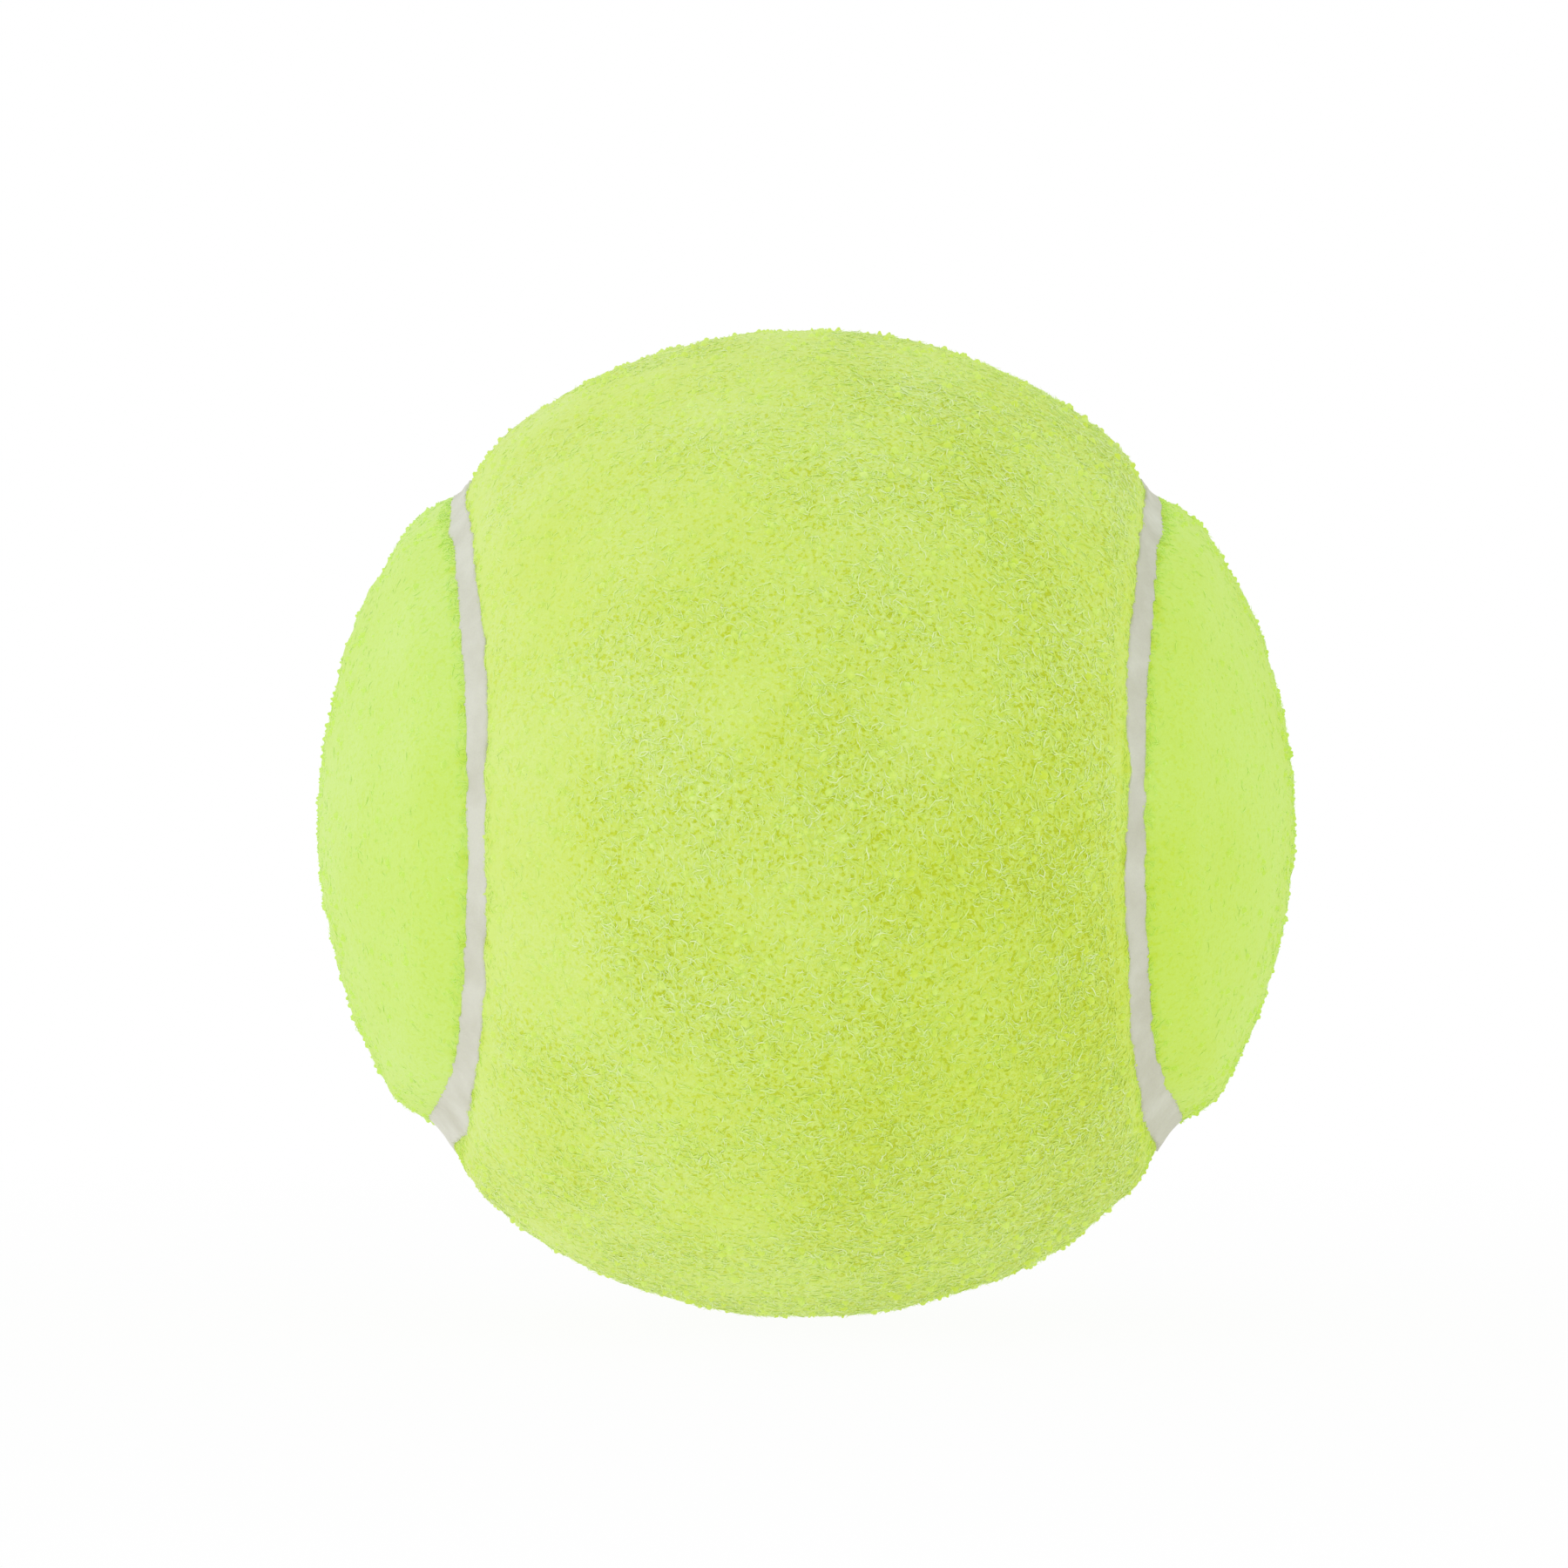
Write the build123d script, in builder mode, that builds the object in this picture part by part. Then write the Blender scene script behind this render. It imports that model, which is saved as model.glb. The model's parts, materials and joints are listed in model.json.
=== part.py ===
# A tennis ball: two rubber cups cemented into a hollow core, two dumbbell panels of backed felt
# wrapped round it, and the endless seam of cement between their edges.
# Millimetres and degrees, +Z up, origin at the ball's centre. The front panel's neck faces -Y.
import os
from math import acos, asin, atan2, cos, degrees, radians, sin, sqrt

from build123d import *

# The core
core_diameter = 60.0
core_wall = 3.4
joint_thickness = 0.2
coat_thickness = 0.2

# The cloth on it
backing_thickness = 0.4
felt_thickness = 2.9

# The seam's cement, which lies below the felt with a dished face
seam_width = 1.7
seam_depth = 1.1
seam_dish = 0.2

# How the felt rounds over to the seam: the rounding's radius, and how far its circle clears the felt
shoulder_radius = 9.4
shoulder_crest = 0.15

# The dumbbell: its neck's width across the felt, and how far the seam leans where it turns from
# running round one panel's lobes to running round the other's
neck_width = 43.5
seam_lean = 12.0

# How far the groove's cutting tool runs past the faces that it opens
overrun = 1.0

# The layers' radii, from the inside out
core_radius = core_diameter / 2
hollow_radius = core_radius - core_wall
coat_radius = core_radius + coat_thickness
backing_radius = coat_radius + backing_thickness
ball_radius = backing_radius + felt_thickness
seam_radius = ball_radius - seam_depth

# The seam is four small circles, each round the end of a lobe, joined by four great circles that
# lean. These are angles at the ball's centre: the neck's edge from the middle of the neck, the
# radius of the circle that touches the great circles on either side, and the place of its middle.
lean = radians(seam_lean)
neck_angle = asin(neck_width / 2 / ball_radius)
lobe_angle = atan2(
    sin(neck_angle) * cos(lean) / sqrt(2) - cos(neck_angle) * sin(lean),
    1 - cos(neck_angle) * cos(lean) / sqrt(2) - sin(neck_angle) * sin(lean),
)
lobe_place = neck_angle + lobe_angle

# Across the seam, from its middle: the foot and the top of the cement's walls, and the crest of the
# felt's rounding, as angles at the ball's centre
foot_angle = degrees(asin(seam_width / 2 / coat_radius))
wall_angle = asin(seam_width / 2 / seam_radius)
shoulder_place = ball_radius + shoulder_crest - shoulder_radius
crest_angle = wall_angle + acos(
    (seam_radius**2 + shoulder_place**2 - shoulder_radius**2) / (2 * seam_radius * shoulder_place)
)

centre = Vector(0, 0, 0)


def seam_runs():
    """The plane where each run of the seam starts, the axis that it turns about, and its angle."""
    runs = []
    side = Vector(1, 0, 0)
    rise = Vector(0, 0, 1)
    face = Vector(0, -1, 0)
    for _ in range(4):
        handedness = side.cross(rise).dot(face)
        crossing = (side - rise).normalized()
        slant = face * cos(lean) + (side + rise).normalized() * sin(lean)
        pole = crossing.cross(slant)
        neck = side * sin(neck_angle) + face * cos(neck_angle)
        lobe = side * sin(lobe_place) + face * cos(lobe_place)
        meeting = (lobe - pole * lobe.dot(pole)).normalized()
        hub = lobe * cos(lobe_angle)
        half_straight = crossing.get_angle(meeting)
        half_round = (neck - hub).get_angle(meeting - hub)
        for middle, heading, turn, half in (
            (crossing, slant, pole, half_straight),
            (neck, rise, lobe * -handedness, half_round),
        ):
            axis = Axis(centre, turn)
            start = Plane(centre, x_dir=middle.rotate(axis, -half), z_dir=heading.rotate(axis, -half))
            runs.append((start, axis, 2 * half))
        # The next quarter is this one turned on its side and sent to the back
        side, rise, face = rise, -side, -face
    return runs


def on_section(radius, angle):
    """A point on a section across the seam, whose X axis is the ball's radius."""
    return (radius * cos(angle), radius * sin(angle))


def hollow_ball(outer, inner):
    """A spherical shell, made inside the block that calls it."""
    Sphere(outer)
    Sphere(inner, mode=Mode.SUBTRACT)


# The groove between the panels, as the tool that cuts them apart
with BuildPart() as groove:
    for start, axis, angle in seam_runs():
        with BuildSketch(start):
            with BuildLine():
                floor = Line((coat_radius - overrun, 0), (coat_radius - overrun, seam_width / 2))
                wall = Line(floor @ 1, on_section(seam_radius, wall_angle))
                crest = on_section(ball_radius + shoulder_crest, crest_angle)
                shoulder = RadiusArc(wall @ 1, crest, -shoulder_radius)
                Line(shoulder @ 1, (ball_radius + overrun, 0))
                mirror(about=Plane.XZ)
            make_face()
        revolve(axis=axis, revolution_arc=angle)

os.makedirs("parts", exist_ok=True)

# Two rubber cups, cemented rim to rim
with BuildPart() as core_half_upper:
    hollow_ball(core_radius, hollow_radius)
    split(bisect_by=Plane.XY.offset(joint_thickness / 2), keep=Keep.TOP)
core_half_upper.part.label = "core_half_upper"
export_step(core_half_upper.part, "parts/core_half_upper.step")

with BuildPart() as core_half_lower:
    hollow_ball(core_radius, hollow_radius)
    split(bisect_by=Plane.XY.offset(-joint_thickness / 2), keep=Keep.BOTTOM)
core_half_lower.part.label = "core_half_lower"
export_step(core_half_lower.part, "parts/core_half_lower.step")

with BuildPart() as core_joint_cement:
    hollow_ball(core_radius, hollow_radius)
    split(bisect_by=Plane.XY.offset(joint_thickness / 2), keep=Keep.BOTTOM)
    split(bisect_by=Plane.XY.offset(-joint_thickness / 2), keep=Keep.TOP)
core_joint_cement.part.label = "core_joint_cement"
export_step(core_joint_cement.part, "parts/core_joint_cement.step")

# The rubber solution that the cloth is stuck to
with BuildPart() as core_cement_coat:
    hollow_ball(coat_radius, core_radius)
core_cement_coat.part.label = "core_cement_coat"
export_step(core_cement_coat.part, "parts/core_cement_coat.step")

# The cloth's rubber backing and its felt, each cut into a front and a rear panel by the groove
with BuildPart() as backing:
    hollow_ball(backing_radius, coat_radius)
    add(groove.part, mode=Mode.SUBTRACT)

with BuildPart() as felt:
    hollow_ball(ball_radius, backing_radius)
    add(groove.part, mode=Mode.SUBTRACT)

for layer, name in ((backing, "felt_backing"), (felt, "felt_panel")):
    for panel, place in zip(layer.solids().sort_by(Axis.Y), ("front", "rear")):
        with BuildPart() as cloth:
            add(panel)
        cloth.part.label = f"{name}_{place}"
        export_step(cloth.part, f"parts/{name}_{place}.step")

# The cement that fills the groove from the core up to its dished face
with BuildPart() as seam_cement:
    for start, axis, angle in seam_runs():
        with BuildSketch(start):
            with BuildLine():
                foot = CenterArc((0, 0), coat_radius, 0, foot_angle)
                wall = Line(foot @ 1, on_section(seam_radius, wall_angle))
                dish = (seam_radius - seam_dish, 0)
                mirror(about=Plane.XZ)
                ThreePointArc(wall @ 1, dish, on_section(seam_radius, -wall_angle))
            make_face()
        revolve(axis=axis, revolution_arc=angle)
seam_cement.part.label = "seam_cement"
export_step(seam_cement.part, "parts/seam_cement.step")
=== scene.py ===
import json
from math import asin, atan2, cos, pi, radians, sin, sqrt

import bpy
import numpy as np
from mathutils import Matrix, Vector, noise

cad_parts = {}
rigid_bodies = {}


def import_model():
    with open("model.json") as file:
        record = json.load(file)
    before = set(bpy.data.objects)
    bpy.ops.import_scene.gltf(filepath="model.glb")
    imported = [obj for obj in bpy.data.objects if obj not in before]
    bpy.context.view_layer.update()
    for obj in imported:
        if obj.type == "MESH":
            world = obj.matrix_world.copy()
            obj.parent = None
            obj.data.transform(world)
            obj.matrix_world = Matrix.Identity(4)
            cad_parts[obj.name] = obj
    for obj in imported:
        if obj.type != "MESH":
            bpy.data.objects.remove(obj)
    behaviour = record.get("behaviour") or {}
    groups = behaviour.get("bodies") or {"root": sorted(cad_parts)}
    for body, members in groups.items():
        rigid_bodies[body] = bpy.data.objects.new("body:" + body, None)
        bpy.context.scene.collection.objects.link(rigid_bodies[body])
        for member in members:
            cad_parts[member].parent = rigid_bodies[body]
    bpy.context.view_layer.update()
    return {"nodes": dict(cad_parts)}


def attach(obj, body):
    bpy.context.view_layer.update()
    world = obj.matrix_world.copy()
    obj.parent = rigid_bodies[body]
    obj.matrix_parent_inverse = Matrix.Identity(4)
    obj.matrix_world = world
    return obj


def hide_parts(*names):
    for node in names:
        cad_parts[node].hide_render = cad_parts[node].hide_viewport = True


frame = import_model()
mm = 0.001
tiny = 1e-9
white = (1, 1, 1, 1)
panels = ("front", "rear")
bothSides = (-1, 1)         # places are given on the right and used on the left too
print("frame loaded,", len(frame["nodes"]), "nodes")


# Small helpers for working the way the menus do
mergeGap = 0.002 * mm       # the frame's triangles come loose
relaxFactor = 0.5


def pick(piece):
    bpy.ops.object.select_all(action='DESELECT')
    piece.select_set(True)
    bpy.context.view_layer.objects.active = piece


def copyNode(nodeName, pieceName):
    piece = bpy.data.objects.new(pieceName, frame["nodes"][nodeName].data.copy())
    bpy.context.collection.objects.link(piece)
    pick(piece)
    bpy.ops.object.mode_set(mode='EDIT')
    bpy.ops.mesh.select_all(action='SELECT')
    bpy.ops.mesh.remove_doubles(threshold=mergeGap)
    bpy.ops.object.mode_set(mode='OBJECT')
    return piece


def applyAll(piece):
    pick(piece)
    for name in [modifier.name for modifier in piece.modifiers]:
        bpy.ops.object.modifier_apply(modifier=name)


def evenGrid(piece, voxel, relaxing):
    grid = piece.modifiers.new("evenGrid", 'REMESH')
    grid.mode = 'VOXEL'
    grid.voxel_size = voxel
    relax = piece.modifiers.new("relax", 'SMOOTH')
    relax.factor = relaxFactor
    relax.iterations = relaxing
    applyAll(piece)
    bpy.ops.object.shade_smooth()


def setFinish(piece, finish):
    piece.data.materials.clear()
    piece.data.materials.append(finish)


def places(piece):
    values = np.empty(len(piece.data.vertices) * 3)
    piece.data.vertices.foreach_get("co", values)
    return values.reshape(-1, 3)


def moveTo(piece, points):
    piece.data.vertices.foreach_set("co", points.ravel())
    piece.data.update()


def keepValue(piece, name, values):
    store = piece.data.attributes.new(name, 'FLOAT', 'POINT')
    store.data.foreach_set("value", np.ascontiguousarray(values, dtype=np.float32))


# Soft noise; another seed gives another pattern
def cloud(points, size, seed):
    shift = Vector(seed)
    return np.array([noise.noise(Vector(p) / size + shift) for p in points])


def ease(values, low, high):
    t = np.clip((values - low) / (high - low), 0, 1)
    return t * t * (3 - 2 * t)


# Levels are a start and a gain
def rising(levels, share):
    return levels[0] + levels[1] * share


# The seam's course round the ball, as the panels are cut
seamCourse = {
    "ballRadius": 33.5 * mm,
    "neckWidth": 43.5 * mm,
    "lean": radians(12),
    "halfWidth": 0.85 * mm,
    "cementTop": 32.4 * mm,
    "overlap": 0.02,        # radians by which each run reaches past its ends
}


def courseRuns():
    lean = seamCourse["lean"]
    neckAngle = asin(seamCourse["neckWidth"] / 2 / seamCourse["ballRadius"])
    lobeAngle = atan2(
        sin(neckAngle) * cos(lean) / sqrt(2) - cos(neckAngle) * sin(lean),
        1 - cos(neckAngle) * cos(lean) / sqrt(2) - sin(neckAngle) * sin(lean),
    )
    lobePlace = neckAngle + lobeAngle
    side = Vector((1, 0, 0))
    rise = Vector((0, 0, 1))
    face = Vector((0, -1, 0))
    runs = []
    for quarter in range(4):
        hand = side.cross(rise).dot(face)
        crossing = (side - rise).normalized()
        slant = face * cos(lean) + (side + rise).normalized() * sin(lean)
        pole = crossing.cross(slant)
        neck = side * sin(neckAngle) + face * cos(neckAngle)
        lobe = side * sin(lobePlace) + face * cos(lobePlace)
        meeting = (lobe - pole * lobe.dot(pole)).normalized()
        hub = lobe * cos(lobeAngle)
        runs.append((pole, crossing, pi / 2, -1, crossing.angle(meeting)))      # straight run
        runs.append((lobe, neck - hub, lobeAngle, hand, (neck - hub).angle(meeting - hub)))
        side, rise, face = rise, -side, -face
    return runs


# How far points lie from the seam's middle, plus on the front panel's side, and the way off it
def offSeam(points):
    around = points / np.linalg.norm(points, axis=1)[:, None]
    nearest = np.full(len(points), np.inf)
    way = np.zeros_like(points)
    for axis, middle, polar, hand, half in courseRuns():
        axisRow = np.array(axis)
        middleRow = np.array(middle.normalized())
        crossRow = np.cross(axisRow, middleRow)
        turn = np.arctan2(around @ crossRow, around @ middleRow)
        tall = np.clip(around @ axisRow, -1, 1)
        distance = hand * (np.arccos(tall) - polar)
        slope = around * tall[:, None] - axisRow
        slope *= hand / np.maximum(np.linalg.norm(slope, axis=1), tiny)[:, None]
        onRun = np.abs(turn) <= half + seamCourse["overlap"]
        closer = onRun & (np.abs(distance) < np.abs(nearest))
        nearest[closer] = distance[closer]
        way[closer] = slope[closer]
    return nearest * seamCourse["ballRadius"], way


# How far points lie beyond the cut edge of their panel
def beyondEdge(points):
    distance = offSeam(points)[0]
    return np.abs(distance) - seamCourse["halfWidth"]


# 1 at a place on the ball, less away from it; side -1 is its twin on the left
def nearTo(points, direction, side, over):
    place = np.array(direction) * (side, 1, 1)
    place = place / np.linalg.norm(place) * seamCourse["ballRadius"]
    gap = np.linalg.norm(points - place, axis=1)
    return np.exp(-(gap / over) ** 2)


# The edges wander a little; at some places the gap opens or closes, and the lower crossings sit higher
seamEdge = {
    "wander": 0.15 * mm,
    "wanderSize": 2.6 * mm,
    "fray": 0.13 * mm,
    "fraySize": 1.0 * mm,
    "seeds": (                  # wander and fray of the front edge, then of the rear edge
        ((3, 0, 0), (3, 5, 0)),
        ((11, 0, 0), (11, 5, 0)),
    ),
    "fadeOver": 4.5 * mm,
    "places": (
        # lower crossings and just behind them
        {"at": (0.71, -0.345, -0.62), "front": 0.68 * mm, "over": 3.0 * mm},
        {"at": (0.72, -0.255, -0.64), "front": 0.60 * mm, "over": 5.5 * mm},
        {"at": (0.70, -0.06, -0.70), "rear": 0.40 * mm, "over": 4.2 * mm},
        {"at": (0.70, 0.10, -0.70), "rear": 0.85 * mm, "over": 4.2 * mm},
        # upper crossings
        {"at": (0.70, -0.09, 0.70), "front": -0.24 * mm, "rear": -0.42 * mm, "over": 4.0 * mm},
        # beside the neck
        {"at": (0.65, -0.76, 0.0), "front": -0.40 * mm, "rear": -0.04 * mm, "over": 6.5 * mm},
        {"at": (0.64, -0.76, 0.105), "front": -0.70 * mm, "over": 2.0 * mm, "sides": (1,)},
        {"at": (0.64, -0.758, 0.125), "front": -0.35 * mm, "over": 1.6 * mm, "sides": (-1,)},
        {"at": (0.642, -0.72, -0.26), "front": -0.75 * mm, "over": 1.4 * mm},
        {"at": (0.655, -0.66, 0.365), "front": -0.30 * mm, "over": 2.0 * mm, "sides": (1,)},
        # between the neck and the crossings
        {"at": (0.675, -0.345, -0.646), "front": -0.42 * mm, "over": 1.9 * mm, "sides": (1,)},
        {"at": (0.667, -0.552, 0.50), "front": -0.32 * mm, "over": 4.0 * mm},
        {"at": (0.683, -0.429, 0.591), "rear": -0.70 * mm, "over": 2.5 * mm},
        {"at": (0.741, -0.24, 0.628), "rear": -0.45 * mm, "over": 2.8 * mm},
        {"at": (0.665, -0.58, -0.471), "rear": -0.22 * mm, "over": 2.5 * mm},
    ),
    "crossing": (0.72, -0.05, -0.69),
    "crossingTurn": radians(3.4),
    "crossingReach": 13 * mm,
    "crossingDepth": (30.7 * mm, 32.2 * mm),    # nothing moves where the cloth meets its backing
}


def spreadSeam(points, tuck):
    distance, way = offSeam(points)
    lean = np.sign(distance)
    ridges = [cloud(points, seamEdge["wanderSize"], wanderSeed) * seamEdge["wander"]
              + cloud(points, seamEdge["fraySize"], fraySeed) * seamEdge["fray"]
              for wanderSeed, fraySeed in seamEdge["seeds"]]
    amount = np.where(lean > 0, ridges[0], ridges[1]) - tuck
    for spot in seamEdge["places"]:
        push = np.where(lean > 0, spot.get("front", 0.0), spot.get("rear", 0.0))
        for side in spot.get("sides", bothSides):
            amount += push * nearTo(points, spot["at"], side, spot["over"])
    beyond = np.abs(distance) - seamCourse["halfWidth"]
    amount *= np.clip(np.abs(distance) / seamCourse["halfWidth"], 0, 1)
    amount *= 1 - ease(beyond, 0, seamEdge["fadeOver"])
    moved = points + way * (lean * amount)[:, None]
    depth = ease(np.linalg.norm(points, axis=1), *seamEdge["crossingDepth"])
    for side in bothSides:
        near = nearTo(moved, seamEdge["crossing"], side, seamEdge["crossingReach"])
        turn = side * seamEdge["crossingTurn"] * depth * near
        x, z = moved[:, 0].copy(), moved[:, 2].copy()
        moved[:, 0] = x * np.cos(turn) - z * np.sin(turn)
        moved[:, 2] = x * np.sin(turn) + z * np.cos(turn)
    return moved


# Node helpers: a value for a socket is a number, a colour or the socket that it comes from
nodeStep = 200


def feed(tree, socket, value):
    if isinstance(value, bpy.types.NodeSocket):
        tree.links.new(value, socket)
    else:
        socket.default_value = value


def fill(tree, made, values):
    for name, value in values.items():
        feed(tree, made.inputs[name], value)


def addNode(tree, kind, spot, values=None, **settings):
    made = tree.nodes.new(kind)
    made.location = (spot[0] * nodeStep, spot[1] * nodeStep)
    for name, value in settings.items():
        setattr(made, name, value)
    fill(tree, made, values or {})
    return made


def addMath(tree, operation, spot, *values):
    return addNode(tree, 'ShaderNodeMath', spot, dict(enumerate(values)), operation=operation).outputs[0]


def addRange(tree, spot, value, bounds, levels=(0.0, 1.0), easing='LINEAR'):
    sockets = {"Value": value, "From Min": bounds[0], "From Max": bounds[1],
               "To Min": levels[0], "To Max": levels[1]}
    return addNode(tree, 'ShaderNodeMapRange', spot, sockets, interpolation_type=easing).outputs["Result"]


def addNoise(tree, spot, vector, scale, detail, **others):
    sockets = {"Vector": vector, "Scale": scale, "Detail": detail, **others}
    return addNode(tree, 'ShaderNodeTexNoise', spot, sockets).outputs[0]


def addBump(tree, shader, height, distance):
    bump = addNode(tree, 'ShaderNodeBump', (-1, -3))
    fill(tree, bump, {"Strength": 1.0, "Distance": distance, "Height": height})
    feed(tree, shader.inputs["Normal"], bump.outputs["Normal"])


def objectSpot(tree):
    return addNode(tree, 'ShaderNodeTexCoord', (-8, 0)).outputs["Object"]


def newGroup(name, kind, inputs, outputs):
    group = bpy.data.node_groups.new(name, kind)
    for way, sockets in (('INPUT', inputs), ('OUTPUT', outputs)):
        for socketName, socketKind in sockets.items():
            group.interface.new_socket(socketName, in_out=way, socket_type='NodeSocket' + socketKind)
    return group


def newMaterial(name, values):
    finish = bpy.data.materials.new(name)
    finish.use_nodes = True
    tree = finish.node_tree
    shader = tree.nodes["Principled BSDF"]
    fill(tree, shader, values)
    return finish, tree, shader


# Felt colour by tone: the dye's own tone varies at random about the middle; the deep olive low end, which
# the pits reach, is painted shade, and the pale lemon high end, which the raised tips reach, is partly
# painted light
feltDyeAndShading = {
    "pit": (0.55, 0.69, 0.018, 1),
    "low": (0.65, 0.83, 0.075, 1),
    "body": (0.70, 0.90, 0.21, 1),
    "tip": (0.81, 0.95, 0.50, 1),
    "stops": {"low": 0.3, "body": 0.62},
    "tint": {"front": white, "rear": (0.92, 1, 0.82, 1)},      # the rear panel is painted a little greener, standing in for the greenish light on its right lobe
    # the strands are painted a little lighter, to offset the shade on their own sides; the rear's also carry
    # the rear panel's greener tint
    "strandTintAndPaintedLight": {"front": (1.045, 1.04, 1.03, 1), "rear": (0.96, 1.04, 0.85, 1)},
}


def makeFeltDye():
    tree = newGroup("feltDyeAndShading", 'ShaderNodeTree', {"Tone": 'Float', "Tint": 'Color'}, {"Color": 'Color'})
    given = addNode(tree, 'NodeGroupInput', (-3, 0)).outputs
    ramp = addNode(tree, 'ShaderNodeValToRGB', (-1, 0), {"Fac": given["Tone"]})
    stops = ramp.color_ramp.elements
    stops[0].position = 0.0
    stops[0].color = feltDyeAndShading["pit"]
    stops[1].position = 1.0
    stops[1].color = feltDyeAndShading["tip"]
    for name, position in feltDyeAndShading["stops"].items():
        stop = stops.new(position)
        stop.color = feltDyeAndShading[name]
    dip = addNode(tree, 'ShaderNodeMix', (1, 0), data_type='RGBA', blend_type='MULTIPLY')
    fill(tree, dip, {"Factor": 1.0, "A": ramp.outputs["Color"], "B": given["Tint"]})
    addNode(tree, 'NodeGroupOutput', (3, 0), {"Color": dip.outputs["Result"]})
    return tree


# Uneven surface: soft patches and a fine grain, both 0 to 1
unevenLook = {
    "details": {"Patch": 3.0, "Grain": 2.0},
    "roughness": 0.55,
    "bounds": (0.3, 0.7),
}


def makeUneven():
    tree = newGroup("unevenSurface", 'ShaderNodeTree',
                    {"Vector": 'Vector', "Patch Scale": 'Float', "Grain Scale": 'Float'},
                    {"Patch": 'Float', "Grain": 'Float'})
    given = addNode(tree, 'NodeGroupInput', (-4, 0)).outputs
    end = addNode(tree, 'NodeGroupOutput', (2, 0))
    for row, (name, detail) in enumerate(unevenLook["details"].items()):
        texture = addNoise(tree, (-2, -row * 2), given["Vector"], given[name + " Scale"], detail,
                           Roughness=unevenLook["roughness"])
        feed(tree, end.inputs[name], addRange(tree, (0, -row * 2), texture, unevenLook["bounds"]))
    return tree


# Tangled wool: streaks that run several ways, 0 in the pits and 1 along the fibres
woolTangle = {
    "lays": ((0.0, 0.0), (1.2, 0.4), (1.25, 2.5), (1.15, 4.6)),     # tip and turn of each set of streaks
    "slender": 6.0,
    "detail": 1.0,
    "roughness": 0.5,
    "distortion": 0.9,
    "bounds": (0.50, 0.70),
}


def makeTangle():
    tree = newGroup("woolTangle", 'ShaderNodeTree',
                    {"Vector": 'Vector', "Scale": 'Float'}, {"Fibre": 'Float'})
    given = addNode(tree, 'NodeGroupInput', (-8, 0)).outputs
    highest = None
    for row, (tip, turn) in enumerate(woolTangle["lays"]):
        lay = addNode(tree, 'ShaderNodeMapping', (-6, -row * 2), vector_type='TEXTURE')
        fill(tree, lay, {"Vector": given["Vector"], "Rotation": (tip, 0, turn),
                         "Scale": (1, 1, woolTangle["slender"])})
        streak = addNoise(tree, (-4, -row * 2), lay.outputs[0], given["Scale"], woolTangle["detail"],
                          Roughness=woolTangle["roughness"], Distortion=woolTangle["distortion"])
        if highest is None:
            highest = streak
        else:
            highest = addMath(tree, 'MAXIMUM', (-2, -row * 2), highest, streak)
    spread = addRange(tree, (2, 0), highest, woolTangle["bounds"], easing='SMOOTHSTEP')
    addNode(tree, 'NodeGroupOutput', (4, 0), {"Fibre": spread})
    return tree


dyeAndShadingGroup = makeFeltDye()
unevenGroup = makeUneven()
tangleGroup = makeTangle()


# Felt ground: matted wool under the nap, whose tone and contrast the cloth carries in attributes.
# The pits are where the nap, too, grows thinner, so both read the same noise.
feltGroundLook = {
    "shader": {"Roughness": 0.92, "Sheen Weight": 0.2, "Sheen Roughness": 0.6, "Specular IOR Level": 0.12},
    "fibreScale": 6500.0,
    "fibreTop": 0.75,
    "pitScale": 3300.0,
    "pitDetail": 1.0,
    "pitBounds": (0.55, 0.68),
    "pitDepth": 1.5,
    "bump": 0.05 * mm,
}


def makeFeltGround(place):
    look = feltGroundLook
    finish, tree, shader = newMaterial("feltGround_" + place, look["shader"])
    tangle = addNode(tree, 'ShaderNodeGroup', (-9, 0), node_tree=tangleGroup)
    fill(tree, tangle, {"Vector": objectSpot(tree), "Scale": look["fibreScale"]})
    drop = addMath(tree, 'SUBTRACT', (-8, 0), tangle.outputs["Fibre"], look["fibreTop"])
    pits = addNoise(tree, (-9, -2), objectSpot(tree), look["pitScale"], look["pitDetail"])
    deep = addRange(tree, (-8, -2), pits, look["pitBounds"], (0.0, -look["pitDepth"]), 'SMOOTHSTEP')
    relief = addMath(tree, 'ADD', (-7, 0), drop, deep)
    contrast = addNode(tree, 'ShaderNodeAttribute', (-6, 2), attribute_name="contrast").outputs["Fac"]
    tone = addNode(tree, 'ShaderNodeAttribute', (-5, 2), attribute_name="tone").outputs["Fac"]
    # painted shade: the relief darkens the tone in the pits and in the gaps between the fibres, as far as
    # the contrast allows; the same relief also drives the bump
    total = addMath(tree, 'MULTIPLY_ADD', (-4, 0), relief, contrast, tone)
    dyeAndShading = addNode(tree, 'ShaderNodeGroup', (-2, 0), node_tree=dyeAndShadingGroup)
    fill(tree, dyeAndShading, {"Tone": total, "Tint": feltDyeAndShading["tint"][place]})
    feed(tree, shader.inputs["Base Color"], dyeAndShading.outputs["Color"])
    addBump(tree, shader, addMath(tree, 'MULTIPLY', (-3, -3), relief, contrast), look["bump"])
    return finish


# Nap strand: its map runs tone across and root to tip along
strandMap = {
    "name": "strandMap",
    "margin": 0.01,
    "toneSpan": 0.96,
    "width": 0.02,
    "columns": 3,
    "along": 0.3,
}
strandLook = {
    "shader": {"Roughness": 0.85, "Sheen Weight": 0.35, "Sheen Roughness": 0.5, "Specular IOR Level": 0.15},
    "rootToTip": (-0.08, 0.04),    # added to the tone at the root and at the tip
}


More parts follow.
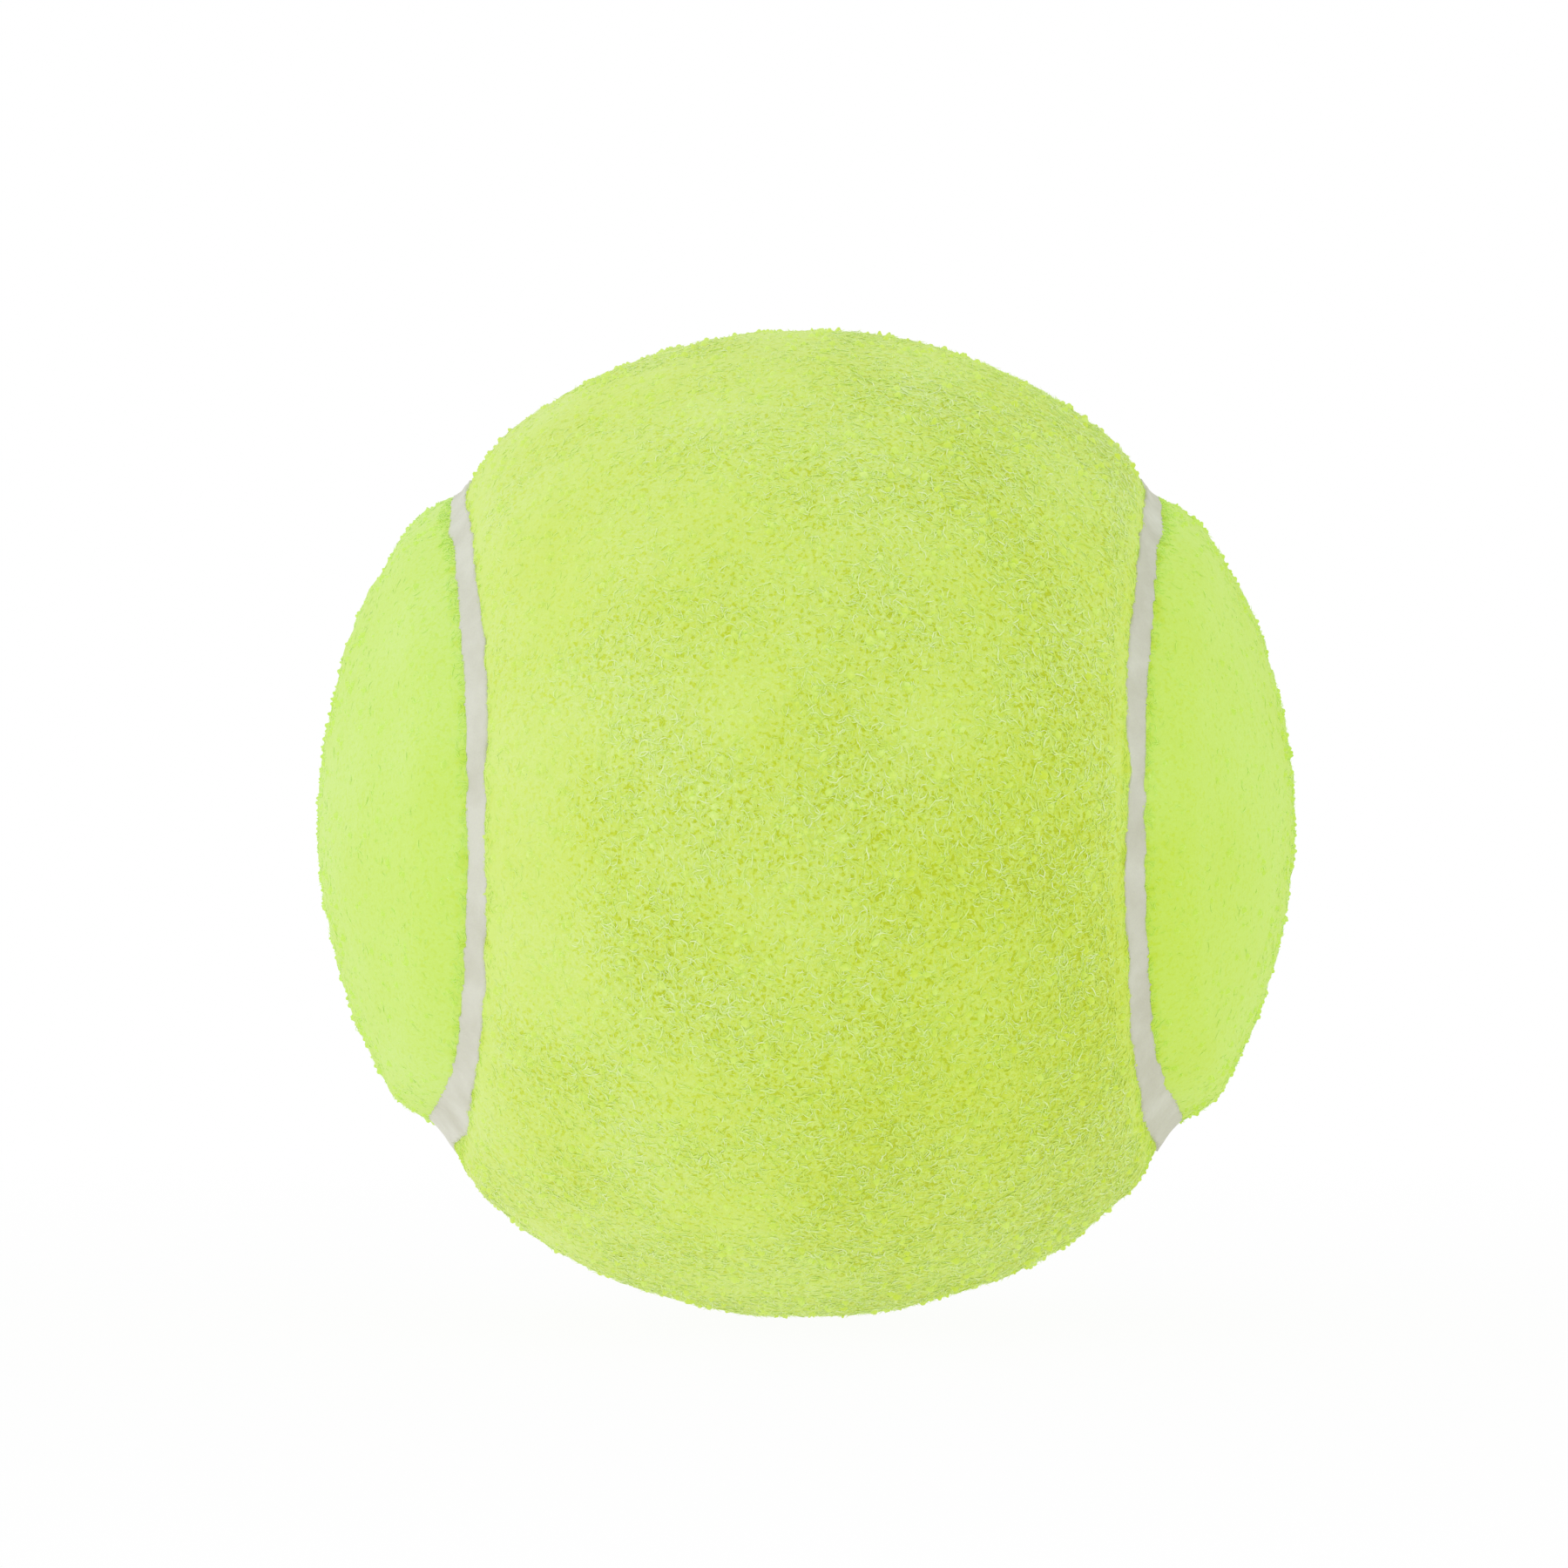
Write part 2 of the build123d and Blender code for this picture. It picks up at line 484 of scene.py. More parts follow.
def makeStrandFinish(place):
    finish, tree, shader = newMaterial("napStrand_" + place, strandLook["shader"])
    spot = addNode(tree, 'ShaderNodeUVMap', (-6, 0), uv_map=strandMap["name"]).outputs["UV"]
    parts = addNode(tree, 'ShaderNodeSeparateXYZ', (-5, 0), {"Vector": spot}).outputs
    rootToTip = addRange(tree, (-4, -1), parts["Y"], (0.0, strandMap["along"]), strandLook["rootToTip"])
    total = addMath(tree, 'ADD', (-3, 0), parts["X"], rootToTip)
    dyeAndShading = addNode(tree, 'ShaderNodeGroup', (-2, 0), node_tree=dyeAndShadingGroup)
    # the strands' tint is painted light, lifting them against the shade on their sides
    fill(tree, dyeAndShading, {"Tone": total, "Tint": feltDyeAndShading["strandTintAndPaintedLight"][place]})
    feed(tree, shader.inputs["Base Color"], dyeAndShading.outputs["Color"])
    return finish


# Plain stuffs with patches and grain: rubber, cement and backing differ only in their values
stuffs = {
    "seamCement": {
        "dark": (0.60, 0.60, 0.49, 1), "light": (0.735, 0.745, 0.65, 1),
        "patchScale": 260.0, "grainScale": 2600.0, "bump": 0.03 * mm,
        "paintedShadeToRight": 11,          # painted shade: darker to the right
    },
    "coreRubber": {
        "dark": (0.030, 0.028, 0.026, 1), "light": (0.055, 0.050, 0.046, 1),
        "patchScale": 150.0, "grainScale": 1800.0, "bump": 0.05 * mm,
    },
    "rubberSolution": {
        "dark": (0.24, 0.19, 0.11, 1), "light": (0.34, 0.28, 0.17, 1),
        "patchScale": 220.0, "grainScale": 1500.0, "bump": 0.04 * mm,
    },
    "clothBacking": {
        "dark": (0.30, 0.26, 0.17, 1), "light": (0.40, 0.35, 0.25, 1),
        "patchScale": 300.0, "grainScale": 2200.0, "bump": 0.05 * mm,
    },
}
stuffRoughness = {"least": 0.62, "swing": 0.25}


def makeStuff(name):
    look = stuffs[name]
    finish, tree, shader = newMaterial(name, {})
    made = addNode(tree, 'ShaderNodeGroup', (-5, 0), node_tree=unevenGroup)
    fill(tree, made, {"Vector": objectSpot(tree), "Patch Scale": look["patchScale"],
                      "Grain Scale": look["grainScale"]})
    patch, grain = made.outputs["Patch"], made.outputs["Grain"]
    across = addNode(tree, 'ShaderNodeSeparateXYZ', (-5, 2), {"Vector": objectSpot(tree)}).outputs["X"]
    # painted shade: the cement's patches darken towards the right
    patchWithShade = addMath(tree, 'MULTIPLY_ADD', (-4, 1), across, -look.get("paintedShadeToRight", 0.0), patch)
    blend = addNode(tree, 'ShaderNodeMix', (-3, 0), data_type='RGBA')
    fill(tree, blend, {"Factor": patchWithShade, "A": look["dark"], "B": look["light"]})
    speck = addMath(tree, 'MULTIPLY', (-4, -1), grain, stuffRoughness["swing"])
    rough = addMath(tree, 'ADD', (-2, -1), speck, stuffRoughness["least"])
    fill(tree, shader, {"Base Color": blend.outputs["Result"], "Roughness": rough})
    addBump(tree, shader, grain, look["bump"])
    return finish


feltFinish = {place: makeFeltGround(place) for place in panels}
strandFinish = {place: makeStrandFinish(place) for place in panels}
stuffFinish = {name: makeStuff(name) for name in stuffs}

nodeStuff = {
    "core_half_upper": "coreRubber",
    "core_half_lower": "coreRubber",
    "core_joint_cement": "rubberSolution",
    "core_cement_coat": "rubberSolution",
    "felt_backing_front": "clothBacking",
    "felt_backing_rear": "clothBacking",
}
for nodeName, stuff in nodeStuff.items():
    setFinish(frame["nodes"][nodeName], stuffFinish[stuff])
print("materials made")


# Seam cement: the poured line between the panels, a little lumpy on its dished face
seamLine = {
    "voxel": 0.24 * mm,
    "relaxing": 2,
    "soak": 0.25 * mm,          # the cement soaks into the cloth's cut edge
    "face": (0.6 * mm, 0.2 * mm),   # how far under the cement's top its face begins, and is whole
    "lump": 0.05 * mm,
    "lumpSize": 1.6 * mm,
    "lumpSeed": (7, 2, 0),
    "pools": ((0.70, -0.08, -0.70), (0.70, -0.09, 0.70)),   # the cement stands higher at the crossings
    "poolRise": 0.28 * mm,
    "poolOver": 5 * mm,
}

seam = copyNode("seam_cement", "seam_cement_line")
evenGrid(seam, seamLine["voxel"], seamLine["relaxing"])
points = spreadSeam(places(seam), -seamLine["soak"])
radius = np.linalg.norm(points, axis=1)
onFace = ease(radius, *[seamCourse["cementTop"] - under for under in seamLine["face"]])
lift = cloud(points, seamLine["lumpSize"], seamLine["lumpSeed"]) * seamLine["lump"]
for spot in seamLine["pools"]:
    for side in bothSides:
        lift += seamLine["poolRise"] * nearTo(points, spot, side, seamLine["poolOver"])
moveTo(seam, points * (1 + lift * onFace / radius)[:, None])
setFinish(seam, stuffFinish["seamCement"])
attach(seam, "root")
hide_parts("seam_cement")
print("seam:", len(seam.data.polygons), "faces")


# Felt cloth: each panel is its cut of cloth, evened out, let wander at the seam and made lumpy
feltCloth = {
    "voxel": 0.45 * mm,
    "relaxing": 3,
    "sink": 0.18 * mm,          # the ground lies this far under the tips of the nap
    "tuck": 0.17 * mm,
    "outer": (31.6 * mm, 32.5 * mm),    # radius from which the cloth is shaped, and shaped in full
    "crownUp": 0.09 * mm,       # the ball stands a touch taller than it is wide
    "sidesIn": 0.26 * mm,
    "lumps": (                  # size, height and seed
        (6.0 * mm, 0.10 * mm, (0, 9, 1)),
        (2.4 * mm, 0.12 * mm, (4, 9, 1)),
        (1.2 * mm, 0.12 * mm, (8, 9, 1)),
        (0.8 * mm, 0.10 * mm, (12, 9, 1)),
    ),
    "swells": (
        {"at": (0.50, -0.06, -0.86), "rise": 0.24 * mm, "over": 7.0 * mm},
        {"at": (0.91, -0.06, -0.42), "rise": 0.22 * mm, "over": 4.0 * mm},
        {"at": (0.91, -0.06, 0.42), "rise": 0.34 * mm, "over": 4.5 * mm},
        {"at": (0.77, -0.06, 0.64), "rise": 0.16 * mm, "over": 3.0 * mm},
        {"at": (0.64, -0.06, -0.77), "rise": -0.36 * mm, "over": 2.6 * mm, "sides": (1,)},
    ),
    "lobeSwell": 0.36 * mm,     # the rear panel's lobes stand up close beside the seam
    "lobeSwellAt": 3.2 * mm,
    "lobeSwellOver": 2.6 * mm,
    "brushed": (0.3, 0.7),      # the rear panel's lobes are brushed smooth where they come forward
    "brushedFrom": (-0.38, -0.12),
    "flat": (0.0517, 0.156),
    "area": 0.0062,
}


def outerShare(points):
    return ease(np.linalg.norm(points, axis=1), *feltCloth["outer"])


def brushed(points, place):
    if place == "front":
        return 1.0
    back = ease(points[:, 1] / seamCourse["ballRadius"], *feltCloth["brushedFrom"])
    return rising(feltCloth["brushed"], back)


def makeCloth(name, place):
    cloth = copyNode("felt_panel_" + place, name)
    evenGrid(cloth, feltCloth["voxel"], feltCloth["relaxing"])
    points = places(cloth)
    beyond = beyondEdge(points)
    points = spreadSeam(points, feltCloth["tuck"])
    share = outerShare(points)
    radius = np.linalg.norm(points, axis=1)
    around = points / radius[:, None]
    lift = feltCloth["crownUp"] * around[:, 2] ** 2 - feltCloth["sidesIn"] * around[:, 0] ** 2
    lift = lift - feltCloth["sink"]
    if place == "rear":
        offPeak = (beyond - feltCloth["lobeSwellAt"]) / feltCloth["lobeSwellOver"]
        lift += feltCloth["lobeSwell"] * np.exp(-offPeak ** 2)
    for spot in feltCloth["swells"]:
        for side in spot.get("sides", bothSides):
            lift = lift + spot["rise"] * nearTo(points, spot["at"], side, spot["over"])
    for size, height, seed in feltCloth["lumps"]:
        lift = lift + cloud(points, size, seed) * height * brushed(points, place)
    moveTo(cloth, points + around * (lift * share)[:, None])
    return cloth


# What the nap reads off the cloth: where it grows, how long, its tone, and how the fibres stand out
napLook = {
    "tone": 0.60,
    "toneSwing": 0.10,
    "paintedLightSlope": (-0.08, 0, 0.02),          # painted light: paler towards the left, and a touch towards the top
    "toneBounds": (0.02, 0.98),
    "mottleSize": 9 * mm,
    "mottleFine": 0.5,                      # share of the patches half that size
    "mottleSeeds": ((2, 3, 4), (8, 3, 4)),
    "edgeShade": {"front": 0.05, "rear": -0.02},    # down the slope to the seam
    "edgeReach": 2.2 * mm,
    "speck": 0.22,                          # dark specks along the cut edges
    "speckSize": 0.9 * mm,
    "speckSeed": (6, 6, 2),
    "speckBounds": (0.05, 0.4),
    "speckReach": (0.2 * mm, 1.1 * mm),
    "fringeReach": (0.1 * mm, 0.6 * mm),    # short ends that lie over the cement
    "patch": {"at": (0.42, -0.78, -0.47), "tone": -0.15, "over": 15 * mm},   # painted shade: darker and greener over the lower right
    "contrast": 0.27,
    "contrastSwing": 0.16,
    "contrastSize": 7 * mm,
    "contrastSeed": (5, 1, 6),
    "contrastSlope": (0.16, 0, -0.05),      # most on the right and below
    "contrastBounds": (0.10, 0.6),
    "contrastAtEdge": (0.4, 0.6),
    "contrastReach": (0.2 * mm, 2.4 * mm),
    "lobeContrast": 0.09,                   # the rear panel's lobes are brushed smooth as they come forward
    "lobeFrom": (-0.35, 0.45),
    "standFrom": (0.12, 0.36),              # the contrast at which fibres begin to stand up, and all do
    "standing": {"cover": (1, -0.5), "fuzz": (0.5, 0.5), "grow": (0.12, 0.88)},
    "reachAtEdge": (0.68, 0.32),
    "reachOver": 1.5 * mm,
    "reachStanding": (0.8, 0.2),
}


def markCloth(cloth, place):
    points = places(cloth)
    spots = points / seamCourse["ballRadius"]
    beyond = beyondEdge(points)
    size = napLook["mottleSize"]
    broadSeed, fineSeed = napLook["mottleSeeds"]
    mottle = cloud(points, size, broadSeed) + napLook["mottleFine"] * cloud(points, size / 2, fineSeed)
    edge = 1 - ease(beyond, 0, napLook["edgeReach"])
    speck = ease(cloud(points, napLook["speckSize"], napLook["speckSeed"]), *napLook["speckBounds"])
    speck = speck * (1 - ease(beyond, *napLook["speckReach"]))
    tone = napLook["tone"] + napLook["toneSwing"] * mottle
    tone -= napLook["edgeShade"][place] * edge + napLook["speck"] * speck
    # painted light: the tone rises towards the left and the top
    tone += spots @ np.array(napLook["paintedLightSlope"])
    patch = napLook["patch"]
    # painted shade over the lower right
    tone += patch["tone"] * nearTo(points, patch["at"], 1, patch["over"])
    uneven = cloud(points, napLook["contrastSize"], napLook["contrastSeed"])
    contrast = napLook["contrast"] + napLook["contrastSwing"] * uneven
    contrast += spots @ np.array(napLook["contrastSlope"])
    contrast = np.clip(contrast, *napLook["contrastBounds"])
    contrast = contrast * rising(napLook["contrastAtEdge"], ease(beyond, *napLook["contrastReach"]))
    if place == "rear":
        away = ease(spots[:, 1], *napLook["lobeFrom"])
        contrast = napLook["lobeContrast"] + (contrast - napLook["lobeContrast"]) * away
    keepValue(cloth, "tone", np.clip(tone, *napLook["toneBounds"]))
    keepValue(cloth, "contrast", contrast)
    standing = ease(contrast, *napLook["standFrom"])
    cover = outerShare(points) * brushed(points, place)
    for name, levels in napLook["standing"].items():
        keepValue(cloth, name, cover * rising(levels, standing))
    keepValue(cloth, "fringe", outerShare(points) * (1 - ease(beyond, *napLook["fringeReach"])))
    reach = rising(napLook["reachAtEdge"], ease(beyond, 0, napLook["reachOver"]))
    keepValue(cloth, "reach", reach * rising(napLook["reachStanding"], standing))


# Strands: fibres drawn to a point at both ends from a three-sided bar, in a few bends each
strandKinds = {
    "bent": {
        "length": 1.05 * mm, "thickness": 0.105 * mm, "lift": 0.11 * mm, "sink": 0.14 * mm, "flat": 0.35,
    },
    "short": {
        "length": 0.76 * mm, "thickness": 0.10 * mm, "lift": 0.08 * mm, "sink": 0.11 * mm, "flat": 0.4,
    },
    "wisp": {
        "length": 0.70 * mm, "thickness": 0.06 * mm, "lift": 0.05 * mm, "sink": 0.08 * mm, "flat": 0.9,
    },
}
strandShape = {
    "sides": 3,
    "coneLength": 1.4,      # the short kind starts from a cone this many thirds long
    "capFacing": 0.9,
    "tipReach": 1.1,
    "farSink": 0.4,
}
strandBends = ((0.14, 0.8), (-0.22, 1.0), (0.32, 0.9), (-0.38, 1.1), (0.44, 1.0), (-0.08, 1.2))


def drawTip(piece, side, go):
    for face in piece.data.polygons:
        face.select = face.normal.x * side > strandShape["capFacing"]
    bpy.ops.object.mode_set(mode='EDIT')
    bpy.ops.mesh.extrude_region_move(TRANSFORM_OT_translate={"value": go})
    bpy.ops.mesh.merge(type='CENTER')
    bpy.ops.mesh.select_all(action='DESELECT')
    bpy.ops.object.mode_set(mode='OBJECT')


# Strands and tufts end alike: stretched, cut to triangles, mapped and put in their collection
def finishStrand(piece, stretch, alongAt, home):
    bpy.ops.object.mode_set(mode='EDIT')
    bpy.ops.mesh.select_all(action='SELECT')
    bpy.ops.transform.resize(value=stretch, center_override=(0, 0, 0))
    bpy.ops.mesh.quads_convert_to_tris()
    bpy.ops.mesh.normals_make_consistent(inside=False)
    bpy.ops.object.mode_set(mode='OBJECT')
    mesh = piece.data
    for layer in list(mesh.uv_layers):
        mesh.uv_layers.remove(layer)
    layer = mesh.uv_layers.new(name=strandMap["name"])
    columns = strandMap["columns"]
    for loop in mesh.loops:
        along = alongAt(mesh.vertices[loop.vertex_index].co)
        layer.data[loop.index].uv = ((loop.vertex_index % columns) / (columns - 1), along)
    setFinish(piece, strandFinish["front"])
    bpy.context.collection.objects.unlink(piece)
    home.objects.link(piece)


def makeStrand(kind, index, home):
    look = strandKinds[kind]
    bend, rise = strandBends[index]
    third = look["length"] / 3
    half = look["thickness"] / 2
    sides = strandShape["sides"]
    where = {"location": (0, 0, look["lift"] * rise), "rotation": (0, pi / 2, 0)}
    bpy.ops.object.select_all(action='DESELECT')
    if kind == "short":
        depth = strandShape["coneLength"] * third
        bpy.ops.mesh.primitive_cone_add(vertices=sides, radius1=half, depth=depth, **where)
    else:
        bpy.ops.mesh.primitive_cylinder_add(vertices=sides, radius=half, depth=third, **where)
    piece = bpy.context.active_object
    piece.name = "strand_" + kind + "_" + str(index)
    bpy.ops.object.transform_apply(location=True, rotation=True, scale=True)
    bpy.ops.object.mode_set(mode='EDIT')
    bpy.ops.mesh.select_mode(type='FACE')
    bpy.ops.mesh.select_all(action='DESELECT')
    bpy.ops.object.mode_set(mode='OBJECT')
    reach = third * strandShape["tipReach"]
    aside = bend * look["length"]
    drawTip(piece, -1, (-reach, aside, -look["sink"]))
    drawTip(piece, 1, (reach, aside, -look["sink"] * strandShape["farSink"]))

    def alongAt(corner):
        return min(max(corner.x / look["length"] + 0.5, 0), 1)

    finishStrand(piece, (1, 1, look["flat"]), alongAt, home)    # broad side down
    return piece


# Tuft: a low ragged peak of matted wool that roughens the outline, its tip drawn to one side
tuftShape = {
    "width": 0.66 * mm,
    "height": 0.33 * mm,
    "sink": 0.06 * mm,
    "sides": 5,
    "blunt": 0.25,
    "lean": 0.3,
    "drift": 0.05 * mm,
    "longer": 1.25,
    "narrower": 0.7,
    "along": (0.6, 0.9),    # where its foot and its tip lie on the map
}


def makeTuft(index, home):
    bend, rise = strandBends[index]
    height = tuftShape["height"] * rise
    width = tuftShape["width"]
    bpy.ops.object.select_all(action='DESELECT')
    bpy.ops.mesh.primitive_cone_add(vertices=tuftShape["sides"], radius1=width / 2,
                                    radius2=tuftShape["blunt"] * width / 2, depth=height,
                                    location=(0, 0, height / 2 - tuftShape["sink"]))
    piece = bpy.context.active_object
    piece.name = "tuft_" + str(index)
    bpy.ops.object.transform_apply(location=True, rotation=True, scale=True)
    for corner in piece.data.vertices:
        corner.select = corner.co.z > 0
    bpy.ops.object.mode_set(mode='EDIT')
    bpy.ops.mesh.select_mode(type='VERT')
    bpy.ops.transform.translate(value=(bend * width * tuftShape["lean"], tuftShape["drift"], 0))
    foot, tip = tuftShape["along"]

    def alongAt(corner):
        return tip if corner.z > 0 else foot

    finishStrand(piece, (tuftShape["longer"], tuftShape["narrower"] + abs(bend), 1), alongAt, home)
    return piece


strandHomes = {}
for kind in (*strandKinds, "tuft"):
    strandHomes[kind] = bpy.data.collections.new("strands_" + kind)
    bpy.context.scene.collection.children.link(strandHomes[kind])
    for index in range(len(strandBends)):
        if kind == "tuft":
            model = makeTuft(index, strandHomes[kind])
        else:
            model = makeStrand(kind, index, strandHomes[kind])
    print("strand", kind, len(model.data.polygons), "faces each")


# Nap: strands strewn over the cloth by a geometry modifier, then applied
# The layers' tones mix the fibres' own paler or deeper tone with painted light and shade: the standing
# layers are painted paler to offset the shade on their sides, the tufts darker to offset their lit tops
napSpread = {
    "layers": (
        {"name": "under", "kind": "short", "count": 13500, "seed": 3, "grows": "grow", "clumps": 0.0,
         "tilt": (-5, 6), "scale": (0.7, 1.2), "tone": -0.1, "swing": 0.8},
        {"name": "matted", "kind": "bent", "count": 11000, "seed": 14, "grows": "grow", "clumps": 0.0,
         "tilt": (-5, 8), "scale": (0.7, 1.2), "tone": 0.25, "swing": 0.8},
        {"name": "curled", "kind": "bent", "count": 9000, "seed": 25, "grows": "grow", "clumps": 0.0,
         "tilt": (0, 12), "scale": (0.55, 1.0), "tone": 0.85, "swing": 0.8},
        {"name": "loose", "kind": "short", "count": 14000, "seed": 36, "grows": "grow", "clumps": 0.3,
         "tilt": (0, 18), "scale": (0.55, 1.0), "tone": 0.85, "swing": 0.8},
        {"name": "stray", "kind": "wisp", "count": 14000, "seed": 47, "grows": "fuzz", "clumps": 1.0,
         "tilt": (15, 52), "scale": (0.6, 1.1), "tone": 1.4, "swing": 0.6},
        {"name": "tufts", "kind": "tuft", "count": 4000, "seed": 58, "grows": "cover", "clumps": 0.4,
         "tilt": (-8, 8), "scale": (0.4, 1.1), "tone": -0.25, "swing": 0.4},
        {"name": "fringe", "kind": "wisp", "count": 4200, "seed": 69, "grows": "fringe", "clumps": 0.0,
         "tilt": (-8, 18), "scale": (1.0, 1.9), "tone": 0.6, "swing": 0.6},
    ),
    "seedStep": 100,            # from one panel to the next
    "quickShare": 4,
    "detail": 1.0,
    "combing": 260.0,           # how quickly the lie of the strands turns over the cloth
    "combTurn": 6 * pi,
    "straying": 2.4,
    "thinning": (1.0, 0.2),     # what grows outside the ground's pits and in them
    "clumping": 850.0,
    "clumpBounds": (0.50, 0.63),
    "clumpLevels": (0.0, 3.0),
}


def makeScatter():
    numbers = ("Density", "Clumps", "Tilt Low", "Tilt High", "Scale Low", "Scale High", "Tone", "Tone Swing")
    tree = newGroup("napScatter", 'GeometryNodeTree',
                    {"Cloth": 'Geometry', "Strands": 'Collection', "Seed": 'Int', "Grows By": 'String',
                     **{name: 'Float' for name in numbers}},
                    {"Nap": 'Geometry'})
    given = addNode(tree, 'NodeGroupInput', (-8, 0)).outputs

    def readValue(name, spot):
        made = addNode(tree, 'GeometryNodeInputNamedAttribute', spot, data_type='FLOAT')
        feed(tree, made.inputs["Name"], name)
        return made.outputs["Attribute"]

    def noiseHere(spot, scale, detail):
        here = addNode(tree, 'GeometryNodeInputPosition', (spot[0] - 1, spot[1])).outputs[0]
        return addNoise(tree, spot, here, scale, detail)

    def nextSeed(extra, spot):
        return addMath(tree, 'ADD', spot, given["Seed"], extra)

    def chance(kind, low, high, seed, spot):
        made = addNode(tree, 'FunctionNodeRandomValue', spot, {"Seed": seed}, data_type=kind)
        wanted = 'VALUE' if kind == 'FLOAT' else kind
        for name, value in (("Min", low), ("Max", high)):
            socket = [s for s in made.inputs if s.name == name and s.type == wanted][0]
            feed(tree, socket, value)
        return [s for s in made.outputs if s.type == wanted][0]

    # sowing: thin in the pits, in clumps where the layer asks for them
    pits = noiseHere((-8, -4), feltGroundLook["pitScale"], feltGroundLook["pitDetail"])
    bare = addRange(tree, (-7, -4), pits, feltGroundLook["pitBounds"], napSpread["thinning"], 'SMOOTHSTEP')
    clumps = noiseHere((-8, -6), napSpread["clumping"], napSpread["detail"])
    crowd = addRange(tree, (-7, -6), clumps, napSpread["clumpBounds"], napSpread["clumpLevels"])
    even = addNode(tree, 'ShaderNodeMix', (-6, -6), data_type='FLOAT')
    fill(tree, even, {"Factor": given["Clumps"], "A": 1.0, "B": crowd})
    grow = addMath(tree, 'MULTIPLY', (-6, -2), readValue(given["Grows By"], (-7, -2)), given["Density"])
    grow = addMath(tree, 'MULTIPLY', (-5, -5), grow, even.outputs[0])
    grow = addMath(tree, 'MULTIPLY', (-5, -3), grow, bare)
    sow = addNode(tree, 'GeometryNodeDistributePointsOnFaces', (-5, 0), distribute_method='RANDOM')
    fill(tree, sow, {"Mesh": given["Cloth"], "Density": grow, "Seed": given["Seed"]})

    # laying: combed one way that turns slowly over the cloth, each strand straying from it
    tilt = chance('FLOAT', given["Tilt Low"], given["Tilt High"], nextSeed(1, (-4, -4)), (-3, -3))
    comb = noiseHere((-5, -6), napSpread["combing"], napSpread["detail"])
    spin = addMath(tree, 'MULTIPLY', (-4, -6), comb, napSpread["combTurn"])
    stray = chance('FLOAT', -napSpread["straying"], napSpread["straying"], nextSeed(2, (-5, -9)), (-4, -8))
    spin = addMath(tree, 'ADD', (-3, -6), spin, stray)
    turn = addNode(tree, 'ShaderNodeCombineXYZ', (-2, -3), {"Y": tilt, "Z": spin})
    euler = addNode(tree, 'FunctionNodeEulerToRotation', (-1, -3), {0: turn.outputs[0]})
    lie = addNode(tree, 'FunctionNodeRotateRotation', (0, -2), rotation_space='LOCAL')
    fill(tree, lie, {0: sow.outputs["Rotation"], 1: euler.outputs[0]})

    # planting: one of the kind's bends, at its own size
    stock = addNode(tree, 'GeometryNodeCollectionInfo', (-2, 2))
    fill(tree, stock, {"Collection": given["Strands"], "Separate Children": True, "Reset Children": True})
    size = chance('FLOAT', given["Scale Low"], given["Scale High"], nextSeed(3, (-1, -7)), (0, -6))
    size = addMath(tree, 'MULTIPLY', (1, -6), size, readValue("reach", (0, -8)))
    which = chance('INT', 0, len(strandBends) - 1, given["Seed"], (0, 3))
    plant = addNode(tree, 'GeometryNodeInstanceOnPoints', (2, 0))
    fill(tree, plant, {"Points": sow.outputs["Points"], "Instance": stock.outputs[0], "Pick Instance": True,
                       "Instance Index": which, "Rotation": lie.outputs[0], "Scale": size})

    # tone: the cloth's tone, shifted by the layer's tone (its own tone with painted light and shade), more
    # or less by its contrast
    swing = chance('FLOAT', -1.0, 1.0, nextSeed(4, (0, 3)), (1, 4))
    swing = addMath(tree, 'MULTIPLY', (2, 4), swing, given["Tone Swing"])
    swing = addMath(tree, 'ADD', (3, 4), swing, given["Tone"])
    swing = addMath(tree, 'MULTIPLY', (4, 5), swing, readValue("contrast", (3, 8)))
    tone = addMath(tree, 'ADD', (5, 5), readValue("tone", (4, 8)), swing)
    dyeAndShading = addNode(tree, 'GeometryNodeStoreNamedAttribute', (4, 0), data_type='FLOAT', domain='INSTANCE')
    fill(tree, dyeAndShading, {"Geometry": plant.outputs[0], "Name": "strandTone", "Value": tone})
    real = addNode(tree, 'GeometryNodeRealizeInstances', (6, 0), {0: dyeAndShading.outputs[0]})
    addNode(tree, 'NodeGroupOutput', (8, 0), {0: real.outputs[0]})
    return tree


def growingArea(cloth, name):
    mesh = cloth.data
    grow = np.empty(len(mesh.vertices), dtype=np.float32)
    mesh.attributes[name].data.foreach_get("value", grow)
    areas = np.empty(len(mesh.polygons))
    mesh.polygons.foreach_get("area", areas)
    starts = np.empty(len(mesh.polygons), dtype=np.int32)
    mesh.polygons.foreach_get("loop_start", starts)
    corners = np.empty(len(mesh.loops), dtype=np.int32)
    mesh.loops.foreach_get("vertex_index", corners)
    return float((areas * grow[corners[starts]]).sum())


# The strand's own map holds its sides and its rings: its tone goes in across
def mapStrands(nap):
    mesh = nap.data
    tone = np.empty(len(mesh.vertices), dtype=np.float32)
    mesh.attributes["strandTone"].data.foreach_get("value", tone)
    corners = np.empty(len(mesh.loops), dtype=np.int32)
    mesh.loops.foreach_get("vertex_index", corners)
    layer = mesh.uv_layers[strandMap["name"]]
    spots = np.empty(len(mesh.loops) * 2, dtype=np.float32)
    layer.data.foreach_get("uv", spots)
    spots = spots.reshape(-1, 2)
    tones = strandMap["margin"] + strandMap["toneSpan"] * np.clip(tone[corners], 0, 1)
    spots[:, 0] = tones + strandMap["width"] * spots[:, 0]
    spots[:, 1] = strandMap["margin"] + strandMap["along"] * spots[:, 1]
    layer.data.foreach_set("uv", spots.ravel())
    twin = mesh.uv_layers.new(name="OFBake")
    twin.data.foreach_set("uv", spots.ravel())


